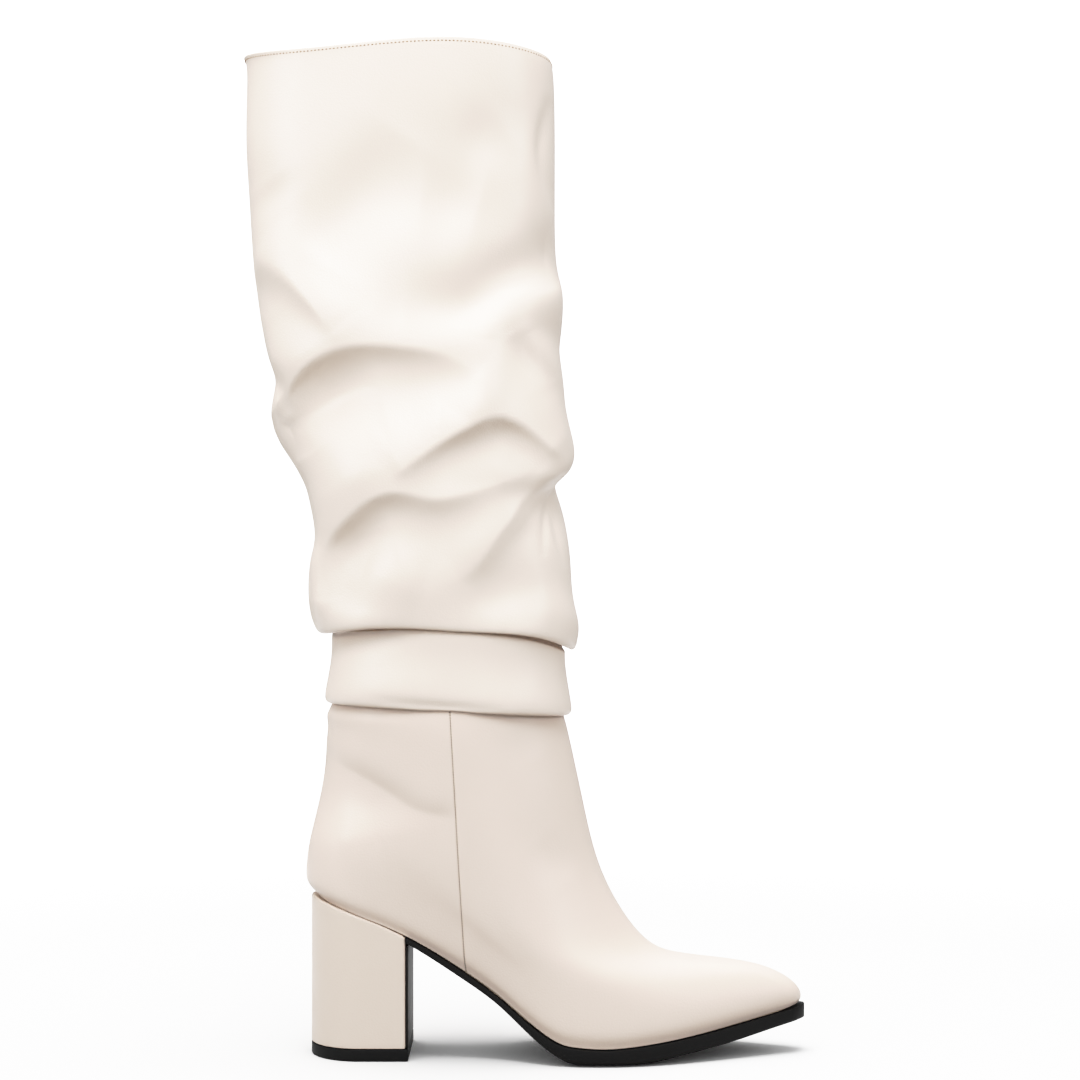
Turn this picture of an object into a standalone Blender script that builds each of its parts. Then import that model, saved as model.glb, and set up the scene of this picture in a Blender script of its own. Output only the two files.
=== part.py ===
"""A knee-high slouch boot for the right foot, on a covered block heel.

+X points to the toe, +Y to the inner side of the foot and +Z up, with the floor at zero.
Sizes are in millimetres from the back of the heel, and the meshes are in metres. The root
empty sets the middle of the boot's box over the origin.
"""

import math

import bmesh
import bpy
from mathutils import Vector

MM = 0.001
LATERAL = -1
MEDIAL = 1

# Driving dimensions
LENGTH = 245.0
BALL_WIDTH = 76.0
HEEL_HEIGHT = 78.0
UPPER_WALL = 1.6
SHAFT_WALL = 1.3
CLEARANCE = 0.4

# Heel, its black cover and its top piece
HEEL_BACK = 2.0
HEEL_BREAST = 49.4
HEEL_ROUND = 25.0
HEEL_HALF_WIDTH = 27.2
HEEL_FOOT_TAPER = 0.97
HEEL_RIM = 1.2
TOP_PIECE_HEIGHT = 5.8
BREAST_COVER_THICK = 1.0
BREAST_COVER_INSET = 1.2

# Outsole and insole
SOLE_PROUD = 0.7
SOLE_TOE_PROUD = 1.4
SOLE_EDGE_SHARE = 0.34
SOLE_TREAD_INSET = 9.0
SOLE_TREAD_SHARE = 0.6
INSOLE_THICK = 2.4
INSOLE_INSET = 3.0
INSOLE_TOE_GAP = 5.0
SEAT_ROUND = 26.0
TOE_ROUND = 7.0

# Mesh density
AROUND = 40
UPPER_RINGS_PER_ROW = 1.5
SLEEVE_RINGS_PER_ROW = 2
SOLE_STATIONS = 36
HEEL_STATIONS = 16
END_TRIM = 0.2
FOLD_STEPS = 16
SMOOTH_ANGLE = math.radians(40)

# The last's bottom, heel to toe: station is a share of LENGTH, feather (the top of the sole) and
# tread (its underside) are shares of HEEL_HEIGHT, lateral and medial are shares of BALL_WIDTH.
SOLE_COLUMNS = ("station", "feather", "tread", "lateral", "medial")
SOLE_SECTIONS = (
    (0.000, 1.012, 0.975, 0.345, 0.345),
    (0.071, 0.942, 0.905, 0.355, 0.353),
    (0.136, 0.867, 0.830, 0.359, 0.350),
    (0.202, 0.772, 0.730, 0.357, 0.335),
    (0.273, 0.642, 0.590, 0.345, 0.296),
    (0.327, 0.531, 0.476, 0.342, 0.271),
    (0.389, 0.392, 0.336, 0.375, 0.292),
    (0.434, 0.276, 0.208, 0.421, 0.336),
    (0.476, 0.180, 0.098, 0.468, 0.384),
    (0.512, 0.124, 0.026, 0.498, 0.426),
    (0.540, 0.110, 0.000, 0.512, 0.450),
    (0.588, 0.101, 0.000, 0.520, 0.482),
    (0.661, 0.114, 0.000, 0.497, 0.503),
    (0.767, 0.156, 0.050, 0.392, 0.432),
    (0.845, 0.199, 0.092, 0.279, 0.337),
    (0.927, 0.250, 0.155, 0.158, 0.221),
    (1.000, 0.300, 0.213, 0.055, 0.118),
)

# Vamp and quarters, from the feather edge up to the top that the band hides. Rises are above the
# feather edge, oval turns the sole's outline into an oval of that half width, level turns the
# sole's slope into a flat ring, and swell widens the last's outline.
UPPER_COLUMNS = ("front_x", "front_rise", "back_x", "back_rise", "half_width", "oval", "level", "swell")
UPPER_SECTIONS = (
    (244.0, 0.0, 3.5, 0.0, 40.0, 0.00, 0.00, 1.000),
    (244.4, 3.7, 0.2, 5.7, 40.0, 0.02, 0.04, 1.025),
    (238.2, 11.6, -0.4, 13.2, 40.0, 0.10, 0.12, 1.035),
    (220.0, 19.2, 0.9, 24.2, 40.0, 0.28, 0.26, 1.030),
    (194.0, 22.0, 3.3, 35.7, 39.5, 0.48, 0.42, 1.020),
    (171.8, 28.0, 5.7, 46.2, 39.0, 0.64, 0.58, 1.010),
    (155.8, 45.0, 7.6, 56.2, 38.6, 0.78, 0.73, 1.000),
    (143.6, 69.5, 8.8, 66.7, 38.6, 0.86, 0.86, 1.000),
    (136.2, 98.5, 9.4, 76.2, 39.0, 0.95, 0.95, 1.000),
    (130.6, 124.7, 9.9, 83.2, 39.5, 1.00, 1.00, 1.000),
    (127.2, 139.2, 10.8, 88.7, 39.4, 1.00, 1.00, 1.000),
    (125.2, 146.7, 12.9, 94.7, 38.4, 1.00, 1.00, 1.000),
    (123.4, 160.7, 14.2, 110.2, 37.6, 1.00, 1.00, 1.000),
)
UPPER_OVAL_POWER = 2.15

# The shaft is one sheet. The band runs from its hem up to a fold that the sleeve hides, and down
# again to the sleeve's lower fold. The sleeve turns up there and runs to the collar. Bow lifts the
# ring's sides, and wave dips it behind the middle and lifts it in front of it.
SHAFT_COLUMNS = ("back_x", "back_z", "front_x", "front_z", "half_width", "bow", "wave")
BAND_SECTIONS = (
    (10.9, 170.7, 128.4, 165.4, 40.4, 2.3, 0.0),
    (8.9, 172.6, 130.2, 167.6, 41.8, 2.3, 0.0),
    (9.4, 180.0, 129.2, 176.5, 41.9, 2.6, 0.0),
    (11.6, 194.0, 127.2, 190.5, 40.8, 4.0, 0.0),
    (12.4, 211.0, 126.6, 204.5, 40.2, 6.4, 0.0),
    (11.9, 214.6, 127.1, 208.1, 40.7, 6.4, 0.0),
    (11.3, 211.4, 127.6, 204.9, 41.2, 6.4, 0.0),
)
SLEEVE_SECTIONS = (
    (8.2, 207.2, 130.0, 197.8, 44.0, 6.4, 0.0),
    (4.4, 209.6, 132.6, 201.2, 46.6, 6.2, 0.0),
    (1.4, 218.0, 133.6, 210.5, 48.0, 5.0, 0.0),
    (0.6, 230.0, 131.0, 224.0, 48.6, 3.0, 0.0),
    (1.8, 243.8, 129.8, 240.0, 48.4, 1.0, 0.0),
    (3.8, 255.0, 128.4, 253.0, 48.0, 0.0, 0.0),
    (1.4, 269.5, 125.2, 267.5, 47.6, 0.0, 0.0),
    (-1.6, 279.4, 122.4, 280.5, 47.4, 0.0, 0.0),
    (-7.8, 290.7, 129.4, 288.5, 47.8, 0.0, 0.0),
    (-14.6, 301.6, 131.4, 299.0, 48.2, 0.0, 0.0),
    (-17.6, 313.0, 127.8, 315.0, 48.4, 0.0, 0.0),
    (-16.6, 324.0, 126.2, 329.0, 48.2, 0.0, 0.0),
    (-15.6, 333.7, 124.4, 344.0, 48.0, 0.0, 0.0),
    (-18.8, 344.0, 125.4, 357.0, 47.8, 0.0, 0.0),
    (-22.2, 358.0, 125.8, 374.0, 47.6, 0.0, 0.0),
    (-26.0, 382.0, 122.8, 389.0, 47.2, 0.0, 0.0),
    (-28.6, 420.0, 122.0, 420.0, 46.4, 0.0, 0.0),
    (-30.0, 452.0, 122.0, 455.0, 45.6, 0.0, 1.2),
    (-29.6, 480.6, 121.4, 479.0, 45.2, 0.7, 2.0),
    (-31.0, 489.2, 120.2, 487.8, 45.0, 0.9, 2.4),
)
WAVE_SHARE = 0.45
SHAFT_OVAL_POWER = 2.3

# Slouch folds of the sleeve, as (x, z) places from the back over the crown to the front. The
# leather stands out above the line by height and sinks in below it, within reach of the line.
FOLD_COLUMNS = ("side", "back", "crown", "front", "height", "reach")
SLOUCH_FOLDS = (
    (LATERAL, (-5, 319), (39, 342), (83, 329), 4.6, 12.0),
    (LATERAL, (9, 231), (41, 266), (103, 277), 5.0, 12.0),
    (LATERAL, (53, 286), (91, 307), (122, 296), 4.8, 10.0),
    (LATERAL, (86, 246), (107, 272), (127, 287), 3.4, 9.0),
    (LATERAL, (-19, 382), (-4, 370), (14, 351), 3.0, 9.0),
    (MEDIAL, (2, 303), (45, 326), (96, 312), 4.6, 12.0),
    (MEDIAL, (14, 262), (66, 283), (118, 268), 4.6, 11.0),
    (MEDIAL, (22, 226), (70, 246), (112, 232), 3.8, 11.0),
    (MEDIAL, (40, 352), (80, 366), (116, 346), 3.6, 11.0),
    (MEDIAL, (-22, 372), (2, 362), (30, 346), 3.0, 10.0),
)
FOLD_END_STRENGTH = 0.1

# Finishes: name, linear colour and roughness
UPPER_LEATHER = ("upper_leather", (0.80, 0.72, 0.63), 0.45)
SHAFT_LEATHER = ("shaft_leather", (0.84, 0.77, 0.69), 0.45)
HEEL_LEATHER = ("heel_leather", (0.78, 0.69, 0.60), 0.45)
HEEL_BLACK = ("heel_black", (0.014, 0.013, 0.013), 0.45)
TOP_PIECE_RUBBER = ("top_piece_rubber", (0.010, 0.010, 0.011), 0.60)
SOLE_RUBBER = ("sole_rubber", (0.012, 0.012, 0.013), 0.60)
INSOLE_LINING = ("insole_lining", (0.62, 0.52, 0.42), 0.70)


def columns_of(names, rows):
    """A table's columns by name."""
    return dict(zip(names, zip(*rows)))


def slope_at(xs, ys, i):
    """The slope of a monotone cubic through the points, at point i."""
    steps = [(ys[k + 1] - ys[k]) / (xs[k + 1] - xs[k]) for k in (i - 1, i) if 0 <= k < len(xs) - 1]
    if len(steps) == 1:
        return steps[0]
    before, after = steps
    return 2 * before * after / (before + after) if before * after > 0 else 0.0


def along(xs, ys, x):
    """The monotone cubic through the points, which never overshoots them."""
    x = min(max(x, xs[0]), xs[-1])
    i = max(k for k in range(len(xs) - 1) if xs[k] <= x)
    step = xs[i + 1] - xs[i]
    t = (x - xs[i]) / step
    start, end = slope_at(xs, ys, i) * step, slope_at(xs, ys, i + 1) * step
    rise = ys[i + 1] - ys[i]
    return ys[i] + start * t * (1 - t) ** 2 + rise * t * t * (3 - 2 * t) - end * t * t * (1 - t)


def mix(a, b, share):
    return a + (b - a) * share


def section(columns, row):
    """One row of a table by column name, read between rows too."""
    return {name: along(range(len(values)), values, row) for name, values in columns.items()}


def ring_rows(rows, per_row):
    """Evenly spaced rows, with the table's first and last among them."""
    count = round((len(rows) - 1) * per_row)
    return [(len(rows) - 1) * i / count for i in range(count + 1)]


def around():
    """Each point of a ring: its share of the way to the front, its side, and how far out it faces."""
    for i in range(AROUND):
        angle = math.tau * i / AROUND
        yield (1 + math.cos(angle)) / 2, MEDIAL if math.sin(angle) > 0 else LATERAL, abs(math.sin(angle))


def oval(share, power):
    """Half width of a rounded oval at a share of its length, from 0 to 1."""
    return (1 - abs(2 * share - 1) ** power) ** (1 / power)


def round_end(distance, radius):
    """How far an outline has opened at a distance from its rounded end, from 0 to 1."""
    short = min(max(1 - distance / radius, 0.0), 1.0)
    return math.sqrt(1 - short * short)


SOLE = columns_of(SOLE_COLUMNS, SOLE_SECTIONS)
UPPER = columns_of(UPPER_COLUMNS, UPPER_SECTIONS)
FEATHER_BACK, FEATHER_FRONT = UPPER["back_x"][0], UPPER["front_x"][0]


def sole_value(column, x):
    return along(SOLE["station"], SOLE[column], x / LENGTH)


def feather_height(x):
    """Top of the heel seat and the sole, where the edge of the upper sits."""
    return HEEL_HEIGHT * sole_value("feather", x)


def tread_height(x):
    """Underside of the sole, on the floor under the ball."""
    return HEEL_HEIGHT * sole_value("tread", x)


def sole_middle(x):
    """The last's middle line, which swings to the inner side at the toe."""
    return BALL_WIDTH * (sole_value("medial", x) - sole_value("lateral", x)) / 2


def last_half_width(x, back, front):
    """Half width of the last's outline, rounded at the seat and at the pointed toe."""
    half = BALL_WIDTH * (sole_value("medial", x) + sole_value("lateral", x)) / 2
    return half * round_end(x - back, SEAT_ROUND) * round_end(front - x, TOE_ROUND)


def heel_half_width(x):
    """The heel's plan: a flat breast and a round back."""
    return HEEL_HALF_WIDTH * round_end(x - HEEL_BACK, HEEL_ROUND)


def stations(first, last, count):
    """Places from first to last, closer together at both ends."""
    return [mix(first, last, (1 - math.cos(math.pi * i / (count - 1))) / 2) for i in range(count)]


def loft(loops, capped):
    """A skin through closed loops with equal numbers of points, open or capped at its ends."""
    skin = bmesh.new()
    rows = [[skin.verts.new(Vector(point) * MM) for point in loop] for loop in loops]
    for low, high in zip(rows, rows[1:]):
        for i in range(len(low)):
            j = (i + 1) % len(low)
            skin.faces.new((low[i], low[j], high[j], high[i]))
    if capped:
        skin.faces.new(reversed(rows[0]))
        skin.faces.new(rows[-1])
    return skin


def new_material(name, colour, roughness):
    material = bpy.data.materials.new(name)
    material.use_nodes = True
    shader = material.node_tree.nodes["Principled BSDF"]
    shader.inputs["Base Color"].default_value = (*colour, 1.0)
    shader.inputs["Roughness"].default_value = roughness
    shader.inputs["Metallic"].default_value = 0.0
    return material


def add_piece(name, skin, finish, root, wall=None):
    """A named piece under the root. A wall turns an open skin into a shell of that thickness."""
    mesh = bpy.data.meshes.new(name)
    if wall is None:
        bmesh.ops.recalc_face_normals(skin, faces=skin.faces)
    skin.to_mesh(mesh)
    skin.free()
    mesh.shade_smooth()
    mesh.set_sharp_from_angle(angle=SMOOTH_ANGLE)
    mesh.materials.append(new_material(*finish))
    piece = bpy.data.objects.new(name, mesh)
    piece.parent = root
    bpy.context.scene.collection.objects.link(piece)
    if wall is not None:
        shell = piece.modifiers.new("wall", "SOLIDIFY")
        shell.thickness = wall * MM
        shell.offset = -1.0
        shell.use_even_offset = True
        shell.use_quality_normals = True
    return piece


def outsole_loops():
    """Sections across the outsole: a lifted edge on both sides of a flat tread."""
    toe = FEATHER_FRONT + SOLE_TOE_PROUD
    for x in stations(HEEL_BREAST + CLEARANCE, toe - END_TRIM, SOLE_STATIONS):
        middle = sole_middle(x)
        half = last_half_width(x, FEATHER_BACK, toe) + SOLE_PROUD * round_end(toe - x, TOE_ROUND)
        tread_half = max(half - SOLE_TREAD_INSET, half * SOLE_TREAD_SHARE)
        top, tread = feather_height(x), tread_height(x)
        edge = mix(tread, top, SOLE_EDGE_SHARE)
        right_side = [(half, top), (half, edge), (tread_half, tread)]
        left_side = [(-y, z) for y, z in reversed(right_side)]
        yield [(x, middle + y, z) for y, z in right_side + left_side]


def heel_loops():
    """Sections across the covered heel, with a softened rim under the upper."""
    bottom = TOP_PIECE_HEIGHT + CLEARANCE
    for x in stations(HEEL_BACK + END_TRIM, HEEL_BREAST, HEEL_STATIONS):
        half, top = heel_half_width(x), feather_height(x)
        rim = min(HEEL_RIM, half / 2)
        right_side = [(half - rim, top), (half, top - rim), (half * HEEL_FOOT_TAPER, bottom)]
        left_side = [(-y, z) for y, z in reversed(right_side)]
        yield [(x, y, z) for y, z in right_side + left_side]


def top_piece_loops():
    """Sections across the top piece, a plain slab under the heel and its cover."""
    front = HEEL_BREAST + CLEARANCE + BREAST_COVER_THICK
    for x in stations(HEEL_BACK + END_TRIM, front, HEEL_STATIONS):
        half = heel_half_width(x) * HEEL_FOOT_TAPER
        yield [(x, half, TOP_PIECE_HEIGHT), (x, half, 0), (x, -half, 0), (x, -half, TOP_PIECE_HEIGHT)]


def breast_cover_loops():
    """The two faces of the black cover on the heel's breast, from the top piece to the sole."""
    back = HEEL_BREAST + CLEARANCE
    top_half = heel_half_width(HEEL_BREAST) - BREAST_COVER_INSET
    foot_half = top_half * HEEL_FOOT_TAPER
    bottom = TOP_PIECE_HEIGHT + CLEARANCE
    for x in (back, back + BREAST_COVER_THICK):
        top = tread_height(back + BREAST_COVER_THICK) - CLEARANCE
        yield [(x, top_half, top), (x, foot_half, bottom), (x, -foot_half, bottom), (x, -top_half, top)]


def insole_loops():
    """Sections across the insole, which lies on the sole inside the upper's wall."""
    back, toe = FEATHER_BACK + INSOLE_INSET, FEATHER_FRONT - INSOLE_TOE_GAP
    for x in stations(back + END_TRIM, toe - END_TRIM, SOLE_STATIONS):
        middle, half = sole_middle(x), last_half_width(x, back, toe)
        half *= 1 - INSOLE_INSET / (half + INSOLE_INSET)
        bottom = feather_height(x) + CLEARANCE
        top = bottom + INSOLE_THICK
        yield [
            (x, middle + half, top),
            (x, middle + half, bottom),
            (x, middle - half, bottom),
            (x, middle - half, top),
        ]


def upper_ring(row):
    """One ring of the vamp and quarters: the sole's outline at row 0, an oval at the ankle."""
    value = section(UPPER, row)
    seat, toe = feather_height(FEATHER_BACK), feather_height(FEATHER_FRONT)
    ring = []
    for share, side, _ in around():
        station = mix(FEATHER_BACK, FEATHER_FRONT, share)
        sag = (feather_height(station) - mix(seat, toe, share)) * (1 - value["level"])
        rise = mix(seat + value["back_rise"], toe + value["front_rise"], share)
        last_half = last_half_width(station, FEATHER_BACK, FEATHER_FRONT) * value["swell"]
        oval_half = value["half_width"] * oval(share, UPPER_OVAL_POWER)
        ring.append((
            mix(value["back_x"], value["front_x"], share),
            sole_middle(station) * (1 - value["oval"]) + side * mix(last_half, oval_half, value["oval"]),
            CLEARANCE + rise + sag,
        ))
    return ring


def fold_push(fold, x, z):
    """How far a fold lifts the leather, or lets it sink, at a place on its side."""
    bend = [2 * c - (b + f) / 2 for b, c, f in zip(fold["back"], fold["crown"], fold["front"])]
    path = []
    for i in range(FOLD_STEPS + 1):
        t = i / FOLD_STEPS
        weights = ((1 - t) ** 2, 2 * t * (1 - t), t * t)
        path.append([sum(w * p for w, p in zip(weights, ps)) for ps in zip(fold["back"], bend, fold["front"])])
    nearest = min(range(len(path)), key=lambda i: math.dist(path[i], (x, z)))
    before, after = path[max(nearest - 1, 0)], path[min(nearest + 1, FOLD_STEPS)]
    run = Vector((after[0] - before[0], after[1] - before[1])).normalized()
    off = Vector((x - path[nearest][0], z - path[nearest][1]))
    above = (run.x * off.y - run.y * off.x) / fold["reach"]
    past_end = run.dot(off) / fold["reach"]
    middle = math.sin(math.pi * mix(FOLD_END_STRENGTH, 1 - FOLD_END_STRENGTH, nearest / FOLD_STEPS))
    return fold["height"] * middle * above * math.exp((1 - above * above) / 2 - past_end * past_end)


def shaft_ring(columns, row, folds):
    """One ring of the shaft, with the folds of each side."""
    value = section(columns, row)
    ring = []
    for share, side, facing in around():
        x = mix(value["back_x"], value["front_x"], share)
        width = oval(share, SHAFT_OVAL_POWER)
        wave = value["wave"] * math.sin(math.tau * (share - WAVE_SHARE))
        bow = value["bow"] * (1 - (2 * share - 1) ** 4)
        z = mix(value["back_z"], value["front_z"], share) + bow + wave
        half = value["half_width"] * width
        half += facing * sum(fold_push(fold, x, z) for fold in folds if fold["side"] == side)
        ring.append((x, side * half, z))
    return ring


def upper_rings():
    return [upper_ring(row) for row in ring_rows(UPPER_SECTIONS, UPPER_RINGS_PER_ROW)]


def shaft_rings():
    band = columns_of(SHAFT_COLUMNS, BAND_SECTIONS)
    sleeve = columns_of(SHAFT_COLUMNS, SLEEVE_SECTIONS)
    folds = [dict(zip(FOLD_COLUMNS, fold)) for fold in SLOUCH_FOLDS]
    rings = [shaft_ring(band, row, ()) for row in range(len(BAND_SECTIONS))]
    return rings + [shaft_ring(sleeve, row, folds) for row in ring_rows(SLEEVE_SECTIONS, SLEEVE_RINGS_PER_ROW)]


def centre(root, pieces):
    """Move the root so that the middle of the boot's box stands over the origin."""
    points = [vertex.co for piece in pieces for vertex in piece.data.vertices]
    for axis in (0, 1):
        places = [point[axis] for point in points]
        root.location[axis] = -(min(places) + max(places)) / 2


for old in list(bpy.data.objects):
    bpy.data.objects.remove(old)

boot = bpy.data.objects.new("boot", None)
bpy.context.scene.collection.objects.link(boot)

centre(boot, (
    add_piece("outsole", loft(outsole_loops(), capped=True), SOLE_RUBBER, boot),
    add_piece("heel_block", loft(heel_loops(), capped=True), HEEL_LEATHER, boot),
    add_piece("heel_breast_cover", loft(breast_cover_loops(), capped=True), HEEL_BLACK, boot),
    add_piece("heel_top_piece", loft(top_piece_loops(), capped=True), TOP_PIECE_RUBBER, boot),
    add_piece("insole", loft(insole_loops(), capped=True), INSOLE_LINING, boot),
    add_piece("upper", loft(upper_rings(), capped=False), UPPER_LEATHER, boot, UPPER_WALL),
    add_piece("shaft", loft(shaft_rings(), capped=False), SHAFT_LEATHER, boot, SHAFT_WALL),
))
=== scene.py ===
import math

import bmesh
import bpy
import numpy as np
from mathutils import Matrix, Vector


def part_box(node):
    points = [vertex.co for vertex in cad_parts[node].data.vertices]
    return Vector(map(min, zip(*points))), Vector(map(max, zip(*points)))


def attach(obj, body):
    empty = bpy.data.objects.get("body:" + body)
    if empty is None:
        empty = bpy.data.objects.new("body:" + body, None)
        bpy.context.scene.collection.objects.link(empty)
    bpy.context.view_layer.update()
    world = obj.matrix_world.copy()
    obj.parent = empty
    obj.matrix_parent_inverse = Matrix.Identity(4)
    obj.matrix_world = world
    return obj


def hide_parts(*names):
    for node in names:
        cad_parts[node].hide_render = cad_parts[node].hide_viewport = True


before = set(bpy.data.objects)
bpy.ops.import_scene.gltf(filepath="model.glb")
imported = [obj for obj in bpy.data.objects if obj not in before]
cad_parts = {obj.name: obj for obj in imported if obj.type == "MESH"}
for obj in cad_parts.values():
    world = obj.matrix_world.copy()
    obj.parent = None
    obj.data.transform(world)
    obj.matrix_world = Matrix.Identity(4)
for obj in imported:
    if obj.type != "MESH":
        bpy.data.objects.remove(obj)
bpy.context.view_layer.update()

# Insole. A sock of undyed lining leather over thin foam, glued on the insole board before the shaft
# is closed. Its solid already has the right shape, so it only gets its finish.
MM = 0.001
SOCK_PALE = "#D9C6B1"
SOCK_DEEP = "#C9B297"
SOCK_PATCH = 14.0
SOCK_GRAIN = 1.1
SOCK_GRAIN_DEPTH = 0.15


def linear(hex_colour):
    """An sRGB hex colour as the linear colour that shader sockets take."""
    parts = [int(hex_colour[i:i + 2], 16) / 255 for i in (1, 3, 5)]
    return (*[c / 12.92 if c <= 0.04045 else ((c + 0.055) / 1.055) ** 2.4 for c in parts], 1.0)


def add_node(tree, kind, inputs=(), **settings):
    """Adds a node with its settings. An input is a value, or the socket that it is linked from."""
    node = tree.nodes.new("ShaderNode" + kind)
    for name, value in settings.items():
        setattr(node, name, value)
    for name, value in dict(inputs).items():
        if isinstance(value, bpy.types.NodeSocket):
            tree.links.new(value, node.inputs[name])
        else:
            node.inputs[name].default_value = value
    return node


def new_material(name):
    """An empty material, and the surface place that its patterns are read at."""
    material = bpy.data.materials.new(name)
    material.use_nodes = True
    material.node_tree.nodes.clear()
    return material, material.node_tree, add_node(material.node_tree, "TexCoord").outputs["Object"]


# Undyed lining leather has no film on it: it is matt, a little blotchy and softly pebbled.
lining_leather, tree, place = new_material("lining leather, undyed")
blotch = add_node(tree, "TexNoise", {"Vector": place, "Scale": 1 / (SOCK_PATCH * MM), "Detail": 3.0})
tint = add_node(tree, "MixRGB", {
    "Fac": blotch.outputs["Fac"], "Color1": linear(SOCK_PALE), "Color2": linear(SOCK_DEEP)})
pebble = add_node(tree, "TexVoronoi", {"Vector": place, "Scale": 1 / (SOCK_GRAIN * MM)})
relief = add_node(tree, "Bump", {
    "Height": pebble.outputs["Distance"], "Strength": 0.35, "Distance": SOCK_GRAIN_DEPTH * MM})
shader = add_node(tree, "BsdfPrincipled", {
    "Base Color": tint.outputs["Color"], "Roughness": 0.72, "IOR": 1.45,
    "Normal": relief.outputs["Normal"]})
add_node(tree, "OutputMaterial", {"Surface": shader.outputs["BSDF"]})
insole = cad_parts["insole"]
insole.data.materials.clear()
insole.data.materials.append(lining_leather)

# Upper. Vamp and quarters of smooth coated leather, sewn together down both sides, pulled over the
# last and lasted under at the feather edge, where the leather rolls over the heel seat and the sole.
LENGTH = 245.0
BALL_WIDTH = 76.0
HEEL_HEIGHT = 78.0
SEAT_ROUND = 26.0
TOE_ROUND = 7.0
CLEARANCE = 0.4
UPPER_WALL = 1.6
UPPER_OVAL_POWER = 2.15
UPPER_RINGS = 200
UPPER_LINING_RINGS = 30
QUARTER_COLUMNS = 52
VAMP_COLUMNS = 96

# The last's bottom, heel to toe: station is a share of LENGTH, feather and tread are the heights of
# the sole's top and underside as shares of HEEL_HEIGHT, and the edges are shares of BALL_WIDTH.
STATION, FEATHER, TREAD, LATERAL_EDGE, MEDIAL_EDGE = np.array([
    (0.000, 1.012, 0.975, 0.345, 0.345),
    (0.071, 0.942, 0.905, 0.355, 0.353),
    (0.136, 0.867, 0.830, 0.359, 0.350),
    (0.202, 0.772, 0.730, 0.357, 0.335),
    (0.273, 0.642, 0.590, 0.345, 0.296),
    (0.327, 0.531, 0.476, 0.342, 0.271),
    (0.389, 0.392, 0.336, 0.375, 0.292),
    (0.434, 0.276, 0.208, 0.421, 0.336),
    (0.476, 0.180, 0.098, 0.468, 0.384),
    (0.512, 0.124, 0.026, 0.498, 0.426),
    (0.540, 0.110, 0.000, 0.512, 0.450),
    (0.588, 0.101, 0.000, 0.520, 0.482),
    (0.661, 0.114, 0.000, 0.497, 0.503),
    (0.767, 0.156, 0.050, 0.392, 0.432),
    (0.845, 0.199, 0.092, 0.279, 0.337),
    (0.927, 0.250, 0.155, 0.158, 0.221),
    (1.000, 0.300, 0.213, 0.055, 0.118),
]).T

# Rings of the upper, from the feather edge to the top that the band hides: x of the front and the
# back, their rise above the feather edge, half width, how far the sole's outline has turned into an
# oval, how far its slope has levelled, and how far the last's outline swells.
UPPER_SECTIONS = np.array([
    (244.0, 0.0, 3.5, 0.0, 40.0, 0.00, 0.00, 1.000),
    (244.4, 3.7, 0.2, 5.7, 40.0, 0.06, 0.04, 1.025),
    (238.2, 11.6, -0.4, 13.2, 40.0, 0.20, 0.12, 1.035),
    (220.0, 19.2, 0.9, 24.2, 40.0, 0.36, 0.26, 1.030),
    (194.0, 22.0, 3.3, 35.7, 39.5, 0.50, 0.42, 1.020),
    (171.8, 28.0, 5.7, 46.2, 39.0, 0.62, 0.58, 1.010),
    (155.8, 45.0, 7.6, 56.2, 38.6, 0.74, 0.73, 1.000),
    (143.6, 69.5, 8.8, 66.7, 38.6, 0.84, 0.86, 1.000),
    (136.2, 98.5, 9.4, 76.2, 39.0, 0.94, 0.95, 1.000),
    (130.6, 124.7, 9.9, 83.2, 39.5, 1.00, 1.00, 1.000),
    (127.2, 139.2, 9.8, 88.7, 39.4, 1.00, 1.00, 1.000),
    (125.2, 146.7, 12.8, 96.2, 38.4, 1.00, 1.00, 1.000),
    (123.4, 160.7, 14.2, 110.2, 37.6, 1.00, 1.00, 1.000),
])

# The side seam runs nearly upright from the band to the waist of the sole. Its two folded edges
# meet in a fine groove.
SEAM_TOP = (71.5, 170.0)
SEAM_FOOT = (78.2, 46.5)
SEAM_COLUMNS = np.array([-1.8, -1.2, -0.8, -0.5, -0.25, 0.0, 0.25, 0.5, 0.8, 1.2, 1.8])
SEAM_GROOVE_DEPTH = 0.5
SEAM_GROOVE_HALF_WIDTH = 0.5
SEAM_FIRST_SHARE = 0.4
SEAM_SETTLE_ROUNDS = 6

# Sizes here are from the back of the heel. The frame's origin is under the middle of the boot.
TOP_PIECE_BACK = 2.2
top_piece_low, top_piece_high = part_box("heel_top_piece")
ORIGIN = np.array([
    top_piece_low.x - TOP_PIECE_BACK * MM, (top_piece_low.y + top_piece_high.y) / 2, 0.0])


def curve_through(knots, values, at):
    """The natural cubic curve through the points, read at any places."""
    x, y = np.asarray(knots, float), np.asarray(values, float)
    step = np.diff(x)
    rise = np.diff(y) / step
    system, pull = np.eye(len(x)), np.zeros(len(x))
    for i in range(1, len(x) - 1):
        system[i, i - 1:i + 2] = step[i - 1], 2 * (step[i - 1] + step[i]), step[i]
        pull[i] = 6 * (rise[i] - rise[i - 1])
    bend = np.linalg.solve(system, pull)
    at = np.clip(at, x[0], x[-1])
    i = np.clip(np.searchsorted(x, at, side="right") - 1, 0, len(x) - 2)
    after, before, gap = at - x[i], x[i + 1] - at, step[i]
    bent = (bend[i] * before ** 3 + bend[i + 1] * after ** 3) / (6 * gap)
    straight_start = (y[i] / gap - bend[i] * gap / 6) * before
    return bent + straight_start + (y[i + 1] / gap - bend[i + 1] * gap / 6) * after


def mix(a, b, share):
    """The value at a share of the way from a to b."""
    return a + (b - a) * share


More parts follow.
